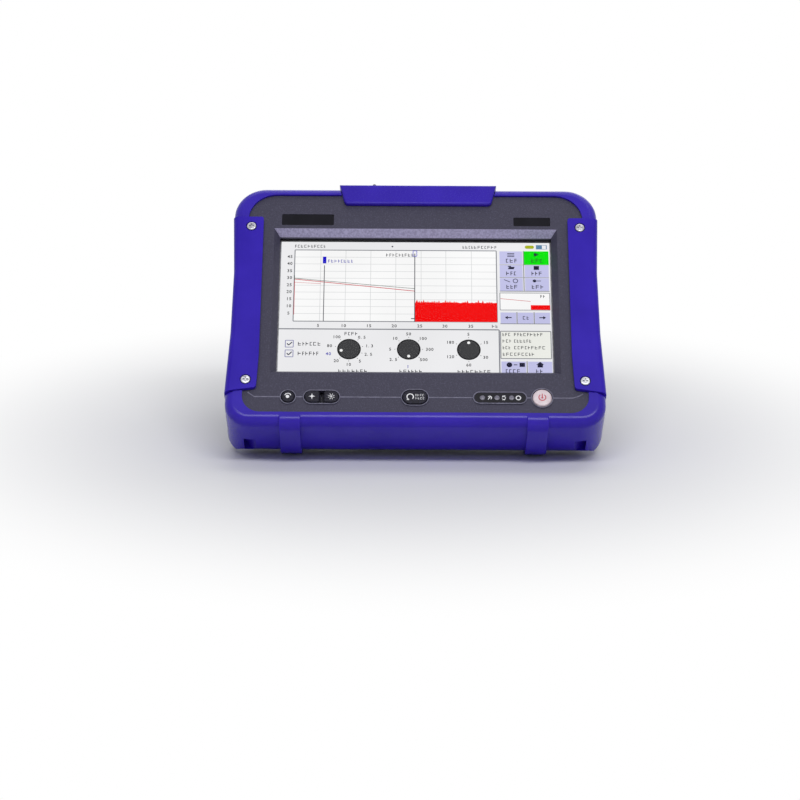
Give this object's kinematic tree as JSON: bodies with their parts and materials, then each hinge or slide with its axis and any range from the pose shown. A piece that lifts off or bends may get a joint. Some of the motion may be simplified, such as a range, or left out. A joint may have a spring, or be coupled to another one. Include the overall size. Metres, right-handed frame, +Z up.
{
  "type": "optical time domain reflectometer",
  "caption": "Handheld optical time domain reflectometer with a touch screen, rubber bumper and grips, leaning back on its kickstand.",
  "frame": {"origin": "on the table under the middle of the instrument, leaning back on its heel pads and stand", "axes": "+X to the right across the screen, +Y backwards, +Z up"},
  "size_m": [0.2088, 0.1454, 0.1379],
  "materials": {
    "case": "fine-textured moulded PC/ABS",
    "case_back": "fine-textured moulded PC/ABS",
    "bumper": "satin TPE overmould",
    "grip": "satin TPE moulding",
    "cover": "satin TPE over a stiff core",
    "seal": "silicone cord",
    "bright_screw": "bright nickel plate",
    "dark_screw": "black zinc plate",
    "feet": "soft black rubber",
    "stand": "satin glass-filled nylon",
    "steel": "stainless steel",
    "board": "green solder mask on FR4",
    "socket_black": "black nylon",
    "plate": "black anodised sheet",
    "adapter": "nickel-plated brass",
    "cap": "black vinyl",
    "key": "silicone, hard-coated",
    "power": "painted silicone",
    "lens": "smoked polycarbonate",
    "mat": "translucent silicone",
    "lamp": "clear epoxy",
    "screen_glass": "lit display behind touch glass",
    "lcd_frame": "pressed steel frame",
    "bracket": "zinc-plated sheet",
    "module": "machined aluminium box",
    "battery": "heat-shrink sleeve",
    "speaker_black": "moulded basket"
  },
  "bodies": {
    "case": {"front_bezel": "case", "rear_cover": "case_back", "bumper_frame": "bumper", "left_grip": "grip", "right_grip": "grip", "left_heel_pad": "bumper", "right_heel_pad": "bumper", "case_seal": "seal", "grip_screws": "bright_screw", "case_screws": "dark_screw", "door_screws": "dark_screw", "plate_screws": "dark_screw", "rear_feet": "feet", "battery_door": "case_back", "stand_pins": "steel", "cover_hinge_pin": "steel", "socket_board": "board", "usb_sockets": "steel", "micro_usb_socket": "steel", "power_jack": "socket_black", "port_plate": "plate", "otdr_adapter": "adapter", "meter_adapter": "adapter", "laser_adapter": "adapter", "led_window": "lens", "keypad_mat": "mat", "keypad_board": "board", "status_lamps": "lamp", "touch_panel": "screen_glass", "lcd_gasket": "seal", "lcd_module": "lcd_frame", "lcd_bracket": "bracket", "main_board": "board", "otdr_module": "module", "meter_module": "module", "battery_pack": "battery", "speaker": "speaker_black"},
    "cover": {"connector_cover": "cover"},
    "stand": {"kickstand": "stand", "stand_foot": "feet"},
    "menu_key_body": {"menu_key": "key"},
    "plus_key_body": {"plus_key": "key"},
    "light_key_body": {"light_key": "key"},
    "start_key_body": {"start_key": "key"},
    "power_key_body": {"power_key": "power"},
    "otdr_cap_body": {"otdr_cap": "cap"},
    "meter_cap_body": {"meter_cap": "cap"},
    "laser_cap_body": {"laser_cap": "cap"}
  },
  "joints": [
    {"name": "cover_hinge", "type": "hinge", "parent": "case", "child": "cover", "pos_m": [0.0013, 0.04814, 0.1212], "axis": [-1, 0, 0], "range_deg": [0, 90]},
    {"name": "stand_hinge", "type": "hinge", "parent": "case", "child": "stand", "pos_m": [0, 0.03216, 0.06865], "axis": [1, 0, 0], "range_deg": [-67.04, 0]},
    {"name": "menu_key_press", "type": "slide", "parent": "case", "child": "menu_key_body", "axis": [0, 0.7193, -0.6947], "range_m": [0, 0.0007], "stiffness_N_per_m": 150, "springref_m": -0.0004},
    {"name": "plus_key_press", "type": "slide", "parent": "case", "child": "plus_key_body", "axis": [0, 0.7193, -0.6947], "range_m": [0, 0.0007], "stiffness_N_per_m": 150, "springref_m": -0.0004},
    {"name": "light_key_press", "type": "slide", "parent": "case", "child": "light_key_body", "axis": [0, 0.7193, -0.6947], "range_m": [0, 0.0007], "stiffness_N_per_m": 150, "springref_m": -0.0004},
    {"name": "start_key_press", "type": "slide", "parent": "case", "child": "start_key_body", "axis": [0, 0.7193, -0.6947], "range_m": [0, 0.0007], "stiffness_N_per_m": 150, "springref_m": -0.0004},
    {"name": "power_key_press", "type": "slide", "parent": "case", "child": "power_key_body", "axis": [0, 0.7193, -0.6947], "range_m": [0, 0.0007], "stiffness_N_per_m": 150, "springref_m": -0.0004},
    {"name": "otdr_cap_slide", "type": "slide", "parent": "case", "child": "otdr_cap_body", "axis": [0, 0.6947, 0.7193], "range_m": [0, 0.06]},
    {"name": "meter_cap_slide", "type": "slide", "parent": "case", "child": "meter_cap_body", "axis": [0, 0.6947, 0.7193], "range_m": [0, 0.06]},
    {"name": "laser_cap_slide", "type": "slide", "parent": "case", "child": "laser_cap_body", "axis": [0, 0.6947, 0.7193], "range_m": [0, 0.06]}
  ]
}
